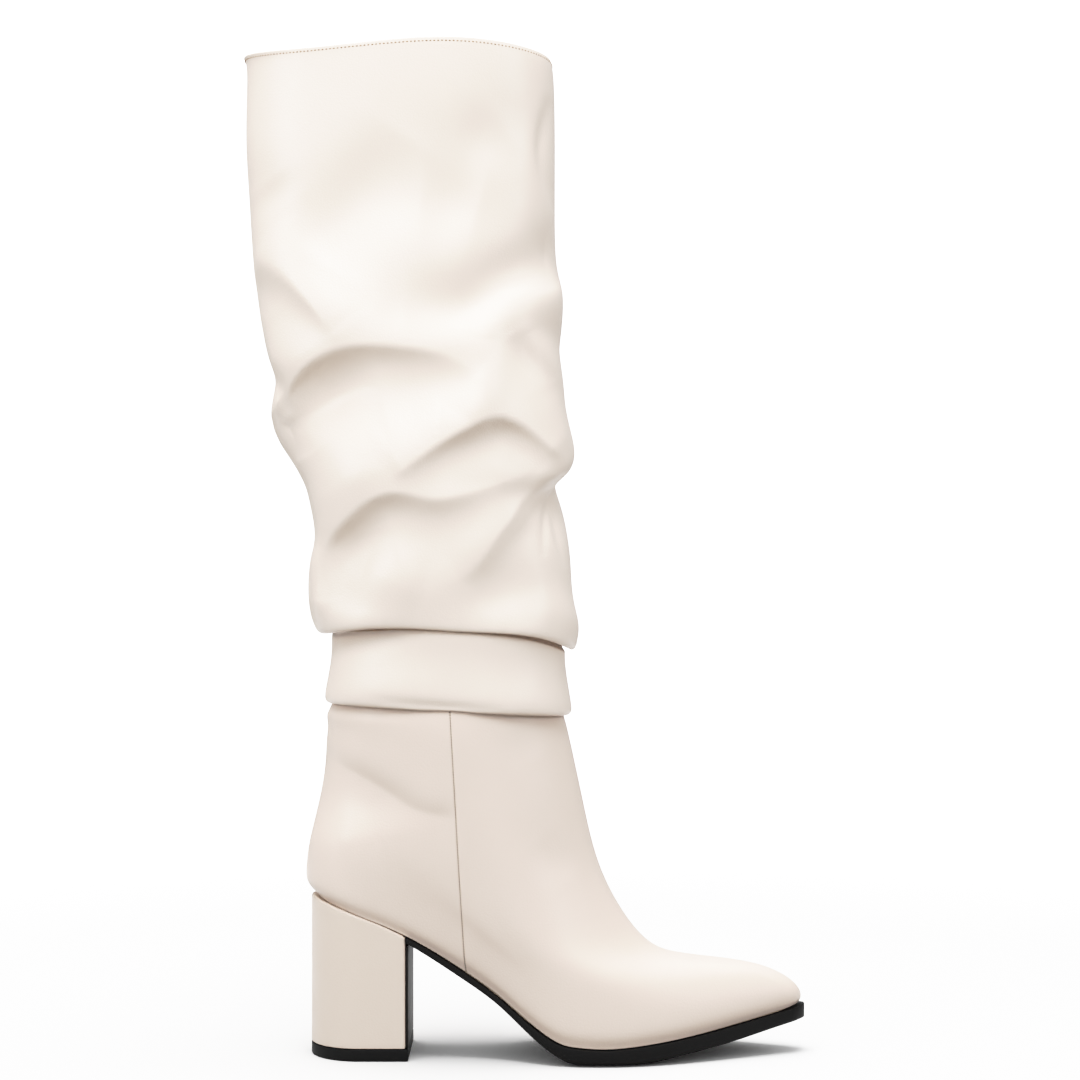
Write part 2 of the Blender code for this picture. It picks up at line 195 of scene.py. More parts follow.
def oval(share, power):
    """Half width of a rounded oval at a share of its length, from 0 to 1."""
    return (1 - np.abs(2 * share - 1) ** power) ** (1 / power)


def round_end(distance, radius):
    """How far an outline has opened at a distance from its rounded end, from 0 to 1."""
    short = np.clip(1 - distance / radius, 0, 1)
    return np.sqrt(1 - short * short)


def feather_height(x):
    """Top of the heel seat and of the sole, where the edge of the upper sits."""
    return HEEL_HEIGHT * curve_through(STATION, FEATHER, x / LENGTH)


def sole_middle(x):
    """The last's middle line, which swings to the inner side at the toe."""
    medial, lateral = (curve_through(STATION, edge, x / LENGTH) for edge in (MEDIAL_EDGE, LATERAL_EDGE))
    return BALL_WIDTH * (medial - lateral) / 2


def last_half_width(x, back, front):
    """Half width of the last's outline, rounded at the seat and at the pointed toe."""
    medial, lateral = (curve_through(STATION, edge, x / LENGTH) for edge in (MEDIAL_EDGE, LATERAL_EDGE))
    half = BALL_WIDTH * (medial + lateral) / 2
    return half * round_end(x - back, SEAT_ROUND) * round_end(front - x, TOE_ROUND)


def sections_along(table, rows):
    """Each column of a table of sections, as smooth values for a stack of rings."""
    return [curve_through(range(len(table)), column, rows)[:, None] for column in table.T]


def closed_rings(x, half_lateral, half_medial, z):
    """Rings from points listed back to front: forward on the outer side and back on the inner side."""
    lateral = np.stack([x, half_lateral, z], axis=-1)
    medial = np.stack([x, half_medial, z], axis=-1)
    return np.concatenate([lateral, medial[:, -2:0:-1]], axis=1)


SHORTEST = 1e-9


def outward_normals(rings):
    """Unit normals of a stack of rings, pointing out of the boot."""
    around = np.roll(rings, -1, axis=1) - np.roll(rings, 1, axis=1)
    normals = np.cross(around, np.gradient(rings, axis=0))
    return normals / np.maximum(np.linalg.norm(normals, axis=-1, keepdims=True), SHORTEST)


def rounded_edge(outer_end, inner_end, beyond, steps=5):
    """Rings over the cut edge of a sheet, from its outer face to its inner face."""
    middle, half = (outer_end + inner_end) / 2, (outer_end - inner_end) / 2
    ahead = outer_end - beyond
    ahead = ahead / np.linalg.norm(ahead, axis=-1, keepdims=True)
    turn = np.linspace(0, math.pi, steps + 2)[1:-1, None, None]
    bulge = np.linalg.norm(half, axis=-1, keepdims=True) * ahead
    return middle + half * np.cos(turn) + bulge * np.sin(turn)


def add_piece(name, points, faces, finishes, finish_of_face=None, sharp_angle=50):
    """A named mesh that stands in the frame and rides on the boot. Points are in millimetres."""
    mesh = bpy.data.meshes.new(name)
    mesh.from_pydata((points * MM + ORIGIN).tolist(), [], [list(face) for face in faces])
    for finish in finishes:
        mesh.materials.append(finish)
    if finish_of_face is not None:
        mesh.polygons.foreach_set("material_index", np.asarray(finish_of_face, np.int32))
    mesh.shade_smooth()
    mesh.set_sharp_from_angle(angle=math.radians(sharp_angle))
    piece = bpy.data.objects.new(name, mesh)
    bpy.context.scene.collection.objects.link(piece)
    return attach(piece, "root")


def picked_rings(rings, first, last, count):
    """A number of rings, evenly picked from a stack, for a lining that is coarser than the face."""
    return rings[np.linspace(first, last, count).round().astype(int)]


def sheet_piece(name, outer, lining, finishes):
    """A closed sheet: up its outer face, over its top edge, down its lining and round its lower edge."""
    top = rounded_edge(outer[-1], lining[-1], outer[-2])
    foot = rounded_edge(outer[0], lining[0], outer[1])
    rings = np.concatenate([outer, top, lining[::-1], foot[::-1]])
    count, around = rings.shape[:2]
    index = np.arange(count * around).reshape(count, around)
    above = np.roll(index, -1, axis=0)
    faces = np.stack([index, np.roll(index, -1, 1), np.roll(above, -1, 1), above], axis=-1)
    lined = np.zeros(count, int)
    lined[len(outer) + len(top):len(outer) + len(top) + len(lining) - 1] = 1
    return add_piece(name, rings.reshape(-1, 3), faces.reshape(-1, 4), finishes, np.repeat(lined, around))


FOLD_STEPS = 160
FOLD_BATCHES = 40
FOLD_SHARPNESS = 0.22
FOLD_FADE = 2.5


def fold_lift(x, z, crest, sink, above, drop, below, start, end, path):
    """How far a fold lifts the leather at places on one side of the boot.

    The path follows the crest, with the steep face on its right. The leather rises to the crest over
    `above`, turns down sharply, falls away over `drop`, and comes back out of its trough over `below`.
    A fold with no sink is a plain ridge or valley. Start and end are its strength where it runs out."""
    path = np.array(path, float)
    run = np.concatenate([[0], np.cumsum(np.hypot(*np.diff(path, axis=0).T))])
    steps = np.linspace(0, run[-1], FOLD_STEPS)
    line = np.stack([curve_through(run, path[:, axis], steps) for axis in (0, 1)], axis=1)
    ahead = np.gradient(line, steps, axis=0)
    ahead /= np.linalg.norm(ahead, axis=1, keepdims=True)
    lift = np.zeros(x.shape)
    reach = FOLD_FADE * max(above, drop, below)
    low, high = line.min(0) - reach, line.max(0) + reach
    close = (x > low[0]) & (x < high[0]) & (z > low[1]) & (z < high[1])
    place = np.stack([x[close], z[close]], axis=1)
    nearest = np.concatenate([
        ((part[:, None] - line) ** 2).sum(-1).argmin(1) for part in np.array_split(place, FOLD_BATCHES)])
    off, way = place - line[nearest], ahead[nearest]
    under = off[:, 0] * way[:, 1] - off[:, 1] * way[:, 0]
    past_end = (off * way).sum(1)
    share = nearest / (FOLD_STEPS - 1)
    strength = mix(np.where(share < 0.5, start, end), 1, np.sin(math.pi * share))
    strength = strength * np.exp(-(past_end / drop) ** 2)
    rise = crest * np.exp(-(under / above) ** 2)
    if sink:
        down, turn = np.maximum(under, 0), FOLD_SHARPNESS * drop
        turned = (drop * np.exp(-down / drop) - turn * np.exp(-down / turn)) / (drop - turn)
        fall = (crest + sink) * turned - sink * np.exp(-(under / below) ** 2)
    else:
        fall = crest * np.exp(-(under / drop) ** 2)
    lift[close] = strength * np.where(under < 0, rise, fall)
    return lift


# Polyurethane-coated leather, smooth and embossed with a fine grain: an even cream colour, a soft
# satin shine and pores of about 0.4 mm, which are drawn at about twice that so that they show.
GRAIN = 0.9
GRAIN_DEPTH = 0.1
CLOUD = 60.0
SHINE_PATCH = 9.0
SATIN = (0.36, 0.44)


def coated_leather(name, pale, deep):
    material, tree, place = new_material(name)
    cloud = add_node(tree, "TexNoise", {"Vector": place, "Scale": 1 / (CLOUD * MM), "Detail": 3.0})
    tint = add_node(tree, "MixRGB", {
        "Fac": cloud.outputs["Fac"], "Color1": linear(pale), "Color2": linear(deep)})
    patch = add_node(tree, "TexNoise", {"Vector": place, "Scale": 1 / (SHINE_PATCH * MM), "Detail": 2.0})
    shine = add_node(tree, "MapRange", {
        "Value": patch.outputs["Fac"], "From Min": 0.3, "From Max": 0.7,
        "To Min": SATIN[0], "To Max": SATIN[1]})
    pores = add_node(tree, "TexVoronoi", {"Vector": place, "Scale": 1 / (GRAIN * MM)})
    relief = add_node(tree, "Bump", {
        "Height": pores.outputs["Distance"], "Strength": 0.5, "Distance": GRAIN_DEPTH * MM})
    shader = add_node(tree, "BsdfPrincipled", {
        "Base Color": tint.outputs["Color"], "Roughness": shine.outputs["Result"], "IOR": 1.5,
        "Normal": relief.outputs["Normal"]})
    add_node(tree, "OutputMaterial", {"Surface": shader.outputs["BSDF"]})
    return material


FEATHER_BACK, FEATHER_FRONT = UPPER_SECTIONS[0, 2], UPPER_SECTIONS[0, 0]
upper_rows = np.linspace(0, len(UPPER_SECTIONS) - 1, UPPER_RINGS)
front_x, front_rise, back_x, back_rise, oval_width, oval_share, level, swell = sections_along(
    UPPER_SECTIONS, upper_rows)


def upper_height(share):
    """Height of the upper's rings at shares of their way from back to front."""
    seat, toe = feather_height(FEATHER_BACK), feather_height(FEATHER_FRONT)
    sag = feather_height(mix(FEATHER_BACK, FEATHER_FRONT, share)) - mix(seat, toe, share)
    return CLEARANCE + mix(seat + back_rise, toe + front_rise, share) + sag * (1 - level)


seam_share = np.full_like(back_x, SEAM_FIRST_SHARE)
for _ in range(SEAM_SETTLE_ROUNDS):
    down = (SEAM_TOP[1] - upper_height(seam_share)) / (SEAM_TOP[1] - SEAM_FOOT[1])
    seam_share = (mix(SEAM_TOP[0], SEAM_FOOT[0], down) - back_x) / (front_x - back_x)

# Columns run from the back to the seam, over the groove, and on to the front, closer at both ends.
groove_share = seam_share + SEAM_COLUMNS / (front_x - back_x)
groove_turn = np.arccos(1 - 2 * groove_share)
quarter_turn = groove_turn[:, :1] * np.linspace(0, 1, QUARTER_COLUMNS, endpoint=False)
vamp_turn = mix(groove_turn[:, -1:], math.pi, np.linspace(0, 1, VAMP_COLUMNS + 1)[1:])
upper_turn = np.concatenate([quarter_turn, groove_turn, vamp_turn], axis=1)
upper_share = (1 - np.cos(upper_turn)) / 2
upper_x = mix(back_x, front_x, upper_share)

# Each ring has the last's own width over its middle, between the kept shares of its length. From there
# the last's outline is drawn to the ring's own back and front.
STATIONS_KEPT = (0.3, 0.35)
STATIONS_DRAWN = (0.0, 0.9)
drawn = sum(
    np.clip((upper_share - kept) / (end - kept), 0, 1) for kept, end in zip(STATIONS_KEPT, STATIONS_DRAWN))
drawn_station = mix(FEATHER_BACK, FEATHER_FRONT, upper_share)
upper_station = mix(upper_x, drawn_station, drawn * drawn * (3 - 2 * drawn))
upper_half = mix(
    last_half_width(upper_station, FEATHER_BACK, FEATHER_FRONT) * swell,
    oval_width * oval(upper_share, UPPER_OVAL_POWER), oval_share)
upper_middle = sole_middle(upper_station) * (1 - oval_share)
upper_rings = closed_rings(
    upper_x, upper_middle - upper_half, upper_middle + upper_half, upper_height(upper_share))

# Creases where the ankle bends, and the full curves beside them, as fold_lift takes them. Then the
# leather rolls in at the feather edge, where it is skived so that it lasts flat over the insole.
ANKLE_CREASES = [
    (-2.0, -2.2, 26, 7.0, 17, 0.8, 0.75,
     [(66, 119.6), (57.6, 121.1), (44.3, 127.8), (32.4, 134.9), (22.9, 139.6), (12, 145)]),
    (4.2, 0.0, 14, 30, 14, 0.8, 0.8, [(18, 104), (27, 106), (38, 108)]),
    (-0.8, 0.0, 11, 11, 11, 0.5, 0.5, [(104, 162), (107, 155), (112, 146)]),
    (-0.9, 0.0, 9, 9, 9, 0.3, 0.3, [(114, 108), (121, 99), (130, 88)]),
]
FEATHER_ROLL = 1.5
FEATHER_ROLL_HEIGHT = 4.6
FEATHER_SKIVE = 0.8
upper_normals = outward_normals(upper_rings)
ankle_lift = sum(fold_lift(upper_rings[..., 0], upper_rings[..., 2], *crease) for crease in ANKLE_CREASES)
ankle_lift *= np.abs(upper_normals[..., 1])
above_feather = upper_rings[..., 2] - upper_rings[:1, :, 2]
feather_share = np.exp(-(above_feather / FEATHER_ROLL_HEIGHT) ** 2)
ankle_lift -= FEATHER_ROLL * feather_share
groove = np.zeros(upper_rings.shape[1])
groove_at = np.arange(QUARTER_COLUMNS, QUARTER_COLUMNS + len(SEAM_COLUMNS))
groove[groove_at] = np.exp(-(SEAM_COLUMNS / SEAM_GROOVE_HALF_WIDTH) ** 2)
groove[-groove_at] = groove[groove_at]
upper_rings = upper_rings + ankle_lift[..., None] * upper_normals
skived_wall = (UPPER_WALL - FEATHER_SKIVE * feather_share)[..., None]
upper_lining = picked_rings(
    upper_rings - skived_wall * outward_normals(upper_rings), 0, UPPER_RINGS - 1, UPPER_LINING_RINGS)
upper_rings = upper_rings - SEAM_GROOVE_DEPTH * groove[:, None] * upper_normals

# The upper's copy of the leather is a darker tone than the shaft's: painted shade, for the light falling
# off lower on the boot.
upper_leather_shaded_tone = coated_leather("coated leather, cream upper, painted shade tone", "#E1D0C3", "#DDCBBD")
upper = sheet_piece("vamp_and_quarters", upper_rings, upper_lining, [upper_leather_shaded_tone, lining_leather])
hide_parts("upper")

# Side seam stitches. A row of lock stitches lies in each side seam, where it holds the vamp to the quarter.
# Its thread is cream; the dark brown given to it is painted shade of the needle holes and of the groove it
# sinks in.
SEAM_STITCH_PITCH = 1.3
SEAM_STITCH_LENGTH = 0.9
SEAM_THREAD_RADIUS = 0.44
STITCH_SIDES = 6
STITCH_RINGS = np.array([(-0.5, 0.35), (-0.36, 0.85), (0.0, 1.0), (0.36, 0.85), (0.5, 0.35)])
STITCH_DIP = 0.9
STITCH_AIM = 0.1


def stitch_row(name, line, normals, pitch, length, radius, thread):
    """One joined mesh of stitches along a line on a surface, each dipping into its needle holes."""
    run = np.concatenate([[0], np.cumsum(np.linalg.norm(np.diff(line, axis=0), axis=1))])
    at = np.arange(pitch / 2, run[-1], pitch)
    middle, out = (np.stack([np.interp(at, run, v[:, i]) for i in range(3)], 1) for v in (line, normals))
    ahead = np.stack([np.interp(at + STITCH_AIM, run, line[:, i]) for i in range(3)], 1) - middle
    ahead /= np.linalg.norm(ahead, axis=1, keepdims=True)
    across = np.cross(out, ahead)
    angle = np.linspace(0, math.tau, STITCH_SIDES, endpoint=False)
    along, thick = STITCH_RINGS.T
    dip = radius * STITCH_DIP * (2 * along) ** 2
    points = (
        middle[:, None, None]
        + ahead[:, None, None] * (along * length)[None, :, None, None]
        + across[:, None, None] * (radius * np.outer(thick, np.cos(angle)))[None, ..., None]
        + out[:, None, None] * (radius * np.outer(thick, np.sin(angle)) - dip[:, None])[None, ..., None])
    faces = []
    rings = len(STITCH_RINGS)
    for first in range(0, len(at) * rings * STITCH_SIDES, rings * STITCH_SIDES):
        ring = first + np.arange(rings * STITCH_SIDES).reshape(rings, STITCH_SIDES)
        for low, high in zip(ring, ring[1:]):
            for i in range(STITCH_SIDES):
                j = (i + 1) % STITCH_SIDES
                faces.append((low[i], low[j], high[j], high[i]))
        faces += [tuple(ring[0][::-1]), tuple(ring[-1])]
    return add_piece(name, points.reshape(-1, 3), faces, [thread])


# Bonded polyester thread: three twisted plies under a thin resin, which gives a dull silky gloss.
# The plies' slant of about 0.3 mm is drawn at 0.5 mm.
THREAD_PLY = 0.5
THREAD_PLY_DEPTH = 0.05


def polyester_thread(name, pale, deep):
    material, tree, place = new_material(name)
    plies = add_node(tree, "TexWave", {
        "Vector": place, "Scale": 1 / (THREAD_PLY * MM) / math.tau, "Distortion": 1.5},
        bands_direction="DIAGONAL")
    tint = add_node(tree, "MixRGB", {
        "Fac": plies.outputs["Fac"], "Color1": linear(deep), "Color2": linear(pale)})
    twist = add_node(tree, "Bump", {
        "Height": plies.outputs["Fac"], "Strength": 0.4, "Distance": THREAD_PLY_DEPTH * MM})
    shader = add_node(tree, "BsdfPrincipled", {
        "Base Color": tint.outputs["Color"], "Roughness": 0.55, "IOR": 1.5,
        "Normal": twist.outputs["Normal"]})
    add_node(tree, "OutputMaterial", {"Surface": shader.outputs["BSDF"]})
    return material


# Thread darkened to dark brown: painted shade of the needle holes and the seam groove.
seam_thread_painted_shade = polyester_thread("polyester thread, darkened as painted shade", "#4E4035", "#392E26")
seam_column = QUARTER_COLUMNS + len(SEAM_COLUMNS) // 2
upper_normals = outward_normals(upper_rings)
for side, column in (("lateral", seam_column), ("medial", -seam_column)):
    stitch_row(
        f"side_seam_stitches_{side}", upper_rings[:, column], upper_normals[:, column],
        SEAM_STITCH_PITCH, SEAM_STITCH_LENGTH, SEAM_THREAD_RADIUS, seam_thread_painted_shade)

# Shaft. One tube of the same leather, lined, with its foot turned up into a band round the ankle and
# its leg pushed down over the band, so that it slouches in soft folds between knee and ankle.
SHAFT_WALL = 1.3
SHAFT_OVAL_POWER = 2.5
SHAFT_WAVE_SHARE = 0.45
SHAFT_BOW_POWER = 4
FOLD_REACH = 2.6
SHAFT_AROUND = 300
BAND_RINGS = 46
SLEEVE_RINGS = 226
BAND_LINING_RINGS = 10
SLEEVE_LINING_RINGS = 40
LINING_SLACK_RINGS = 18
LINING_LEDGE = 3.0

# Rings of the shaft: x and z of the back and of the front, half width, how far the sides bow up, and
# a wave that dips behind the middle. The band runs from its hem up to a hidden fold and down again.
BAND_SECTIONS = np.array([
    (10.9, 172.4, 128.4, 166.3, 40.4, 0.9, 0.0),
    (8.9, 174.2, 130.2, 168.5, 41.8, 0.9, 0.0),
    (9.4, 181.0, 129.2, 177.0, 42.3, 1.8, 0.0),
    (11.6, 194.5, 127.2, 190.7, 41.8, 3.7, 0.0),
    (11.9, 205.4, 126.9, 197.4, 42.2, 6.4, 0.0),
    (13.4, 208.4, 125.5, 200.2, 39.0, 6.4, 0.0),
    (13.4, 214.6, 125.5, 208.1, 38.8, 6.4, 0.0),
    (11.3, 212.4, 127.4, 205.0, 41.6, 6.4, 0.0),
])
SLEEVE_SECTIONS = np.array([
    (10.2, 211.4, 127.8, 203.2, 42.4, 6.4, 0.0),
    (8.4, 207.6, 129.4, 198.4, 43.5, 6.4, 0.0),
    (5.4, 208.0, 131.9, 199.0, 45.2, 6.3, 0.0),
    (3.3, 211.6, 133.3, 203.4, 46.1, 5.9, 0.0),
    (1.4, 218.6, 133.6, 211.5, 46.8, 4.9, 0.0),
    (0.6, 230.0, 131.0, 224.0, 47.6, 3.0, 0.0),
    (1.8, 243.8, 129.8, 240.0, 48.0, 1.0, 0.0),
    (3.8, 255.0, 128.4, 253.0, 48.0, 0.0, 0.0),
    (1.4, 269.5, 125.2, 267.5, 47.6, 0.0, 0.0),
    (-1.6, 279.4, 122.4, 280.5, 47.4, 0.0, 0.0),
    (-7.8, 290.7, 129.4, 288.5, 47.8, 0.0, 0.0),
    (-14.6, 301.6, 131.4, 299.0, 48.2, 0.0, 0.0),
    (-17.6, 313.0, 127.8, 315.0, 48.4, 0.0, 0.0),
    (-16.6, 324.0, 126.2, 329.0, 48.2, 0.0, 0.0),
    (-15.6, 333.7, 124.4, 344.0, 48.0, 0.0, 0.0),
    (-18.8, 344.0, 125.4, 357.0, 47.8, 0.0, 0.0),
    (-22.2, 358.0, 125.8, 374.0, 47.6, 0.0, 0.0),
    (-26.0, 382.0, 122.8, 389.0, 47.2, 0.0, 0.0),
    (-28.6, 420.0, 122.0, 420.0, 46.4, 0.0, 0.0),
    (-30.0, 452.0, 122.0, 455.0, 45.6, 0.0, 1.2),
    (-29.6, 480.6, 121.4, 479.0, 45.2, 0.7, 2.0),
    (-31.0, 489.2, 120.2, 487.8, 45.0, 0.9, 2.4),
])

# Folds of the sleeve as fold_lift takes them, placed as (x, z) on each side.
LATERAL_FOLDS = [
    (6.0, 7.6, 26, 9.5, 28, 1.0, 0.1,
     [(-17, 315), (-8.5, 324.5), (1, 335), (17, 343.4), (31, 345.3), (49, 344.4), (70.4, 340.1),
      (84.2, 331.5)]),
    (5.5, 7.2, 20, 6.4, 20, 0.35, 0.7,
     [(51.4, 287), (62.4, 295), (72.8, 301.6), (83.7, 307.3), (91, 310.2), (98, 310.6), (107.5, 306.8),
      (114.6, 301.6), (120.3, 297)]),
    (7.0, 9.4, 30, 11.5, 24, 0.9, 0.5,
     [(5.6, 224), (6.5, 235.6), (8, 245), (11.5, 252.2), (22, 263), (32, 271.2), (44.8, 275.5),
      (54.3, 274.5), (63.3, 272.6), (74.2, 273.6), (83.7, 276), (94.2, 279.3)]),
    (3.4, 6.2, 14, 8.0, 22, 0.1, 0.9,
     [(76, 234.6), (81.8, 238.4), (88.5, 246), (95, 255.5), (100.8, 263), (105.6, 270.7), (114, 278.3),
      (125.5, 286)]),
    (4.2, 3.8, 16, 6.0, 22, 0.9, 0.2, [(-20.7, 386), (-12, 381), (0, 370.5), (9.6, 360), (16.3, 351.5)]),
    (3.0, 0.0, 9, 12, 12, 0.4, 0.4, [(93, 347), (92, 338), (91, 328), (86, 317), (80, 309)]),
    (2.0, 0.0, 5, 5, 5, 0.4, 0.4, [(110, 352), (117, 342), (123, 332)]),
    (-2.4, 0.0, 10, 7, 10, 0.4, 0.4, [(100, 350), (108, 338), (116, 325)]),
    (-6.5, 0.0, 15, 12, 24, 0.3, 0.6, [(50, 362), (66, 363), (82, 365), (98, 375), (110, 382), (118, 388)]),
    (2.0, 0.0, 9, 14, 14, 0.4, 0.6, [(84, 354), (99, 364), (110, 371), (121, 379)]),
    (-5.0, 0.0, 18, 20, 20, 0.2, 0.2, [(8, 386), (22, 406), (36, 424), (50, 444)]),
    (-4.2, 0.0, 20, 18, 20, 0.5, 0.5, [(58, 415), (72, 414), (86, 411)]),
    (-3.0, 0.0, 16, 16, 16, 0.5, 0.5, [(74, 440), (86, 443), (98, 450)]),
    (-1.4, 0.0, 12, 12, 12, 0.4, 0.4, [(-18, 424), (-14, 418), (-10, 412)]),
    (-1.8, 0.0, 3, 3, 3, 0.3, 0.3, [(119, 464), (116, 435), (121, 416)]),
    (-0.9, 0.0, 2, 2, 2, 0.3, 0.3, [(121, 279), (118.5, 261), (117.5, 246)]),
    (-0.9, 0.0, 2, 2, 2, 0.3, 0.3, [(122, 270), (125, 249), (127, 241)]),
    (-2.2, 0.0, 3, 3, 3, 0.5, 0.5, [(-14, 334), (-10.5, 325), (-11, 317), (-14, 313)]),
    (-6.5, 0.0, 13, 18, 13, 0.9, 0.0, [(-18, 307), (-6, 310.5), (8, 316), (22, 321.5), (38, 325.5)]),
    (-4.5, 0.0, 11, 16, 11, 0.9, 0.0, [(3, 221), (9, 229), (17, 240), (28, 249), (44, 256)]),
    (3.0, 0.0, 24, 12, 12, 0.5, 0.3, [(4, 270), (16, 279), (30, 286), (44, 290)]),
    (-3.0, 0.0, 14, 10, 14, 0.2, 0.2, [(76, 222), (90, 225), (104, 228), (116, 232)]),
    (-1.6, 0.0, 3, 3, 3, 0.3, 0.3, [(12, 254), (9.6, 245), (8.6, 236), (8, 226)]),
    (3.2, 0.0, 10, 10, 10, 0.5, 0.5, [(12, 212), (24, 212), (40, 213)]),
    (2.2, 0.0, 10, 10, 10, 0.5, 0.5, [(98, 207), (110, 205.5), (120, 204)]),
    (3.2, 0.0, 16, 16, 16, 0.4, 0.4, [(30, 238), (45, 234), (60, 231)]),
]
MEDIAL_FOLDS = [
    (4.6, 6.4, 26, 9.0, 26, 1.0, 0.2,
     [(-13, 290), (-8, 299), (8, 312), (30, 322), (50, 325), (72, 320), (94, 311)]),
    (4.6, 6.4, 22, 8.5, 22, 0.3, 0.8, [(18, 263), (40, 276), (66, 283), (90, 280), (108, 272), (122, 262)]),
    (4.0, 5.4, 20, 8.0, 22, 0.7, 0.3, [(8, 226), (26, 239), (48, 247), (70, 247), (92, 240)]),
    (3.8, 4.8, 20, 8.5, 24, 0.2, 0.7, [(40, 352), (60, 363), (82, 366), (102, 358), (118, 345)]),
    (3.5, 2.6, 16, 7.0, 22, 0.9, 0.2, [(-22, 380), (-8, 372), (8, 362), (24, 350)]),
    (2.4, 0.0, 9, 12, 12, 0.4, 0.4, [(100, 335), (97, 325), (90, 312)]),
    (-2.8, 0.0, 20, 14, 20, 0.3, 0.5, [(30, 392), (56, 396), (82, 408), (106, 414)]),
    (-2.0, 0.0, 16, 14, 16, 0.3, 0.3, [(2, 416), (20, 436), (36, 452)]),
    (-1.4, 0.0, 14, 14, 14, 0.5, 0.5, [(70, 440), (78, 452), (88, 462)]),
    (-2.0, 0.0, 3, 3, 3, 0.3, 0.3, [(116, 258), (119, 246), (118, 232)]),
    (1.4, 0.0, 14, 14, 14, 0.4, 0.4, [(40, 226), (58, 222), (80, 224)]),
]

# Folds of the band, and how the folds of the sleeve run on round it: at each height, how far they climb
# to the inner side across the front and across the back.
BAND_FOLDS = [
    (-3.4, 0.0, 9, 9, 9, 0.6, 0.3, [(14, 204), (30, 207), (50, 209)]),
    (1.8, 0.0, 12, 12, 12, 0.6, 0.6, [(28, 181), (40, 181), (54, 181)]),
    (1.4, 0.0, 10, 10, 10, 0.6, 0.6, [(92, 174), (104, 173), (114, 172)]),
    (-1.1, 0.0, 2.6, 2.6, 2.6, 0.2, 0.2, [(36, 175.5), (56, 173.5), (76, 172), (96, 171)]),
]
SLEEVE_TWIST = np.array([
    (195, 0.0, 0.0), (235, -0.15, 0.15), (285, 0.28, -0.15), (344, -0.30, 0.30), (384, 0.28, -0.25),
    (440, 0.0, 0.1), (495, 0.0, 0.0)])


def shaft_rings(sections, count):
    """Plain rings of the shaft, with no folds."""
    rows = np.linspace(0, len(sections) - 1, count)
    back_x, back_z, front_x, front_z, half_width, bow, wave = sections_along(sections, rows)
    share = (1 - np.cos(np.linspace(0, math.pi, SHAFT_AROUND // 2 + 1)))[None] / 2
    half = half_width * oval(share, SHAFT_OVAL_POWER)
    bowed = bow * (1 - (2 * share - 1) ** SHAFT_BOW_POWER)
    z = mix(back_z, front_z, share) + bowed + wave * np.sin(math.tau * (share - SHAFT_WAVE_SHARE))
    return closed_rings(mix(back_x, front_x, share), -half, half, z)


def folded(rings, lateral_folds, medial_folds):
    """Rings pushed out and drawn in by the folds of their outer and inner sides."""
    normals = outward_normals(rings)
    lift = np.zeros(rings.shape[:2])
    for folds, on_side in ((lateral_folds, rings[..., 1] < 0), (medial_folds, rings[..., 1] > 0)):
        for fold in folds:
            lift += on_side * fold_lift(rings[..., 0], rings[..., 2], *fold)
    lift *= np.clip(np.abs(normals[..., 1]) * FOLD_REACH, 0, 1)
    rings = rings + np.minimum(lift, 0)[..., None] * normals
    rings[..., 1] += np.maximum(lift, 0) * np.sign(rings[..., 1])
    return rings


sleeve = shaft_rings(SLEEVE_SECTIONS, SLEEVE_RINGS)
low_x, high_x = sleeve[..., 0].min(axis=1, keepdims=True), sleeve[..., 0].max(axis=1, keepdims=True)
ahead = (2 * sleeve[..., 0] - low_x - high_x) / (high_x - low_x)
front_twist, back_twist = (
    curve_through(SLEEVE_TWIST[:, 0], twist, sleeve[..., 2]) for twist in SLEEVE_TWIST.T[1:])
sleeve[..., 2] += sleeve[..., 1] * ahead ** 2 * np.where(ahead > 0, front_twist, back_twist)
sleeve = folded(sleeve, LATERAL_FOLDS, MEDIAL_FOLDS)
band = folded(shaft_rings(BAND_SECTIONS, BAND_RINGS), BAND_FOLDS, BAND_FOLDS)
shaft_outer = np.concatenate([band, sleeve])


def least_near(values, reach):
    """The least value within a reach of rings."""
    padded = np.pad(values, ((reach, reach), (0, 0)), mode="edge")
    return np.min([padded[i:i + len(values)] for i in range(2 * reach + 1)], axis=0)


# The lining hangs clear of the folds, and steps from the band's fold to the sleeve over the turned hem.
shaft_lining = shaft_outer - SHAFT_WALL * outward_normals(shaft_outer)
lining_y = shaft_lining[..., 1]
shaft_lining[..., 1] = np.sign(lining_y) * least_near(np.abs(lining_y), LINING_SLACK_RINGS)
ring_height = shaft_outer[..., 2].mean(axis=1)
band_fold = ring_height[:BAND_RINGS].argmax()
over_hem = BAND_RINGS + (ring_height[BAND_RINGS:] > ring_height[band_fold] + LINING_LEDGE).argmax()
shaft_lining = np.concatenate([
    picked_rings(shaft_lining, 0, band_fold, BAND_LINING_RINGS),
    picked_rings(shaft_lining, over_hem, len(shaft_outer) - 1, SLEEVE_LINING_RINGS)])

# The shaft's copy is the lightest tone of the one leather: the tones step down from shaft to upper to heel
# as painted light and shade, for the light falling off towards the floor.
shaft_leather = coated_leather("coated leather, cream shaft", "#EBDCCF", "#E7D7C9")
shaft = sheet_piece("slouch_shaft", shaft_outer, shaft_lining, [shaft_leather, lining_leather])
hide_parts("shaft")

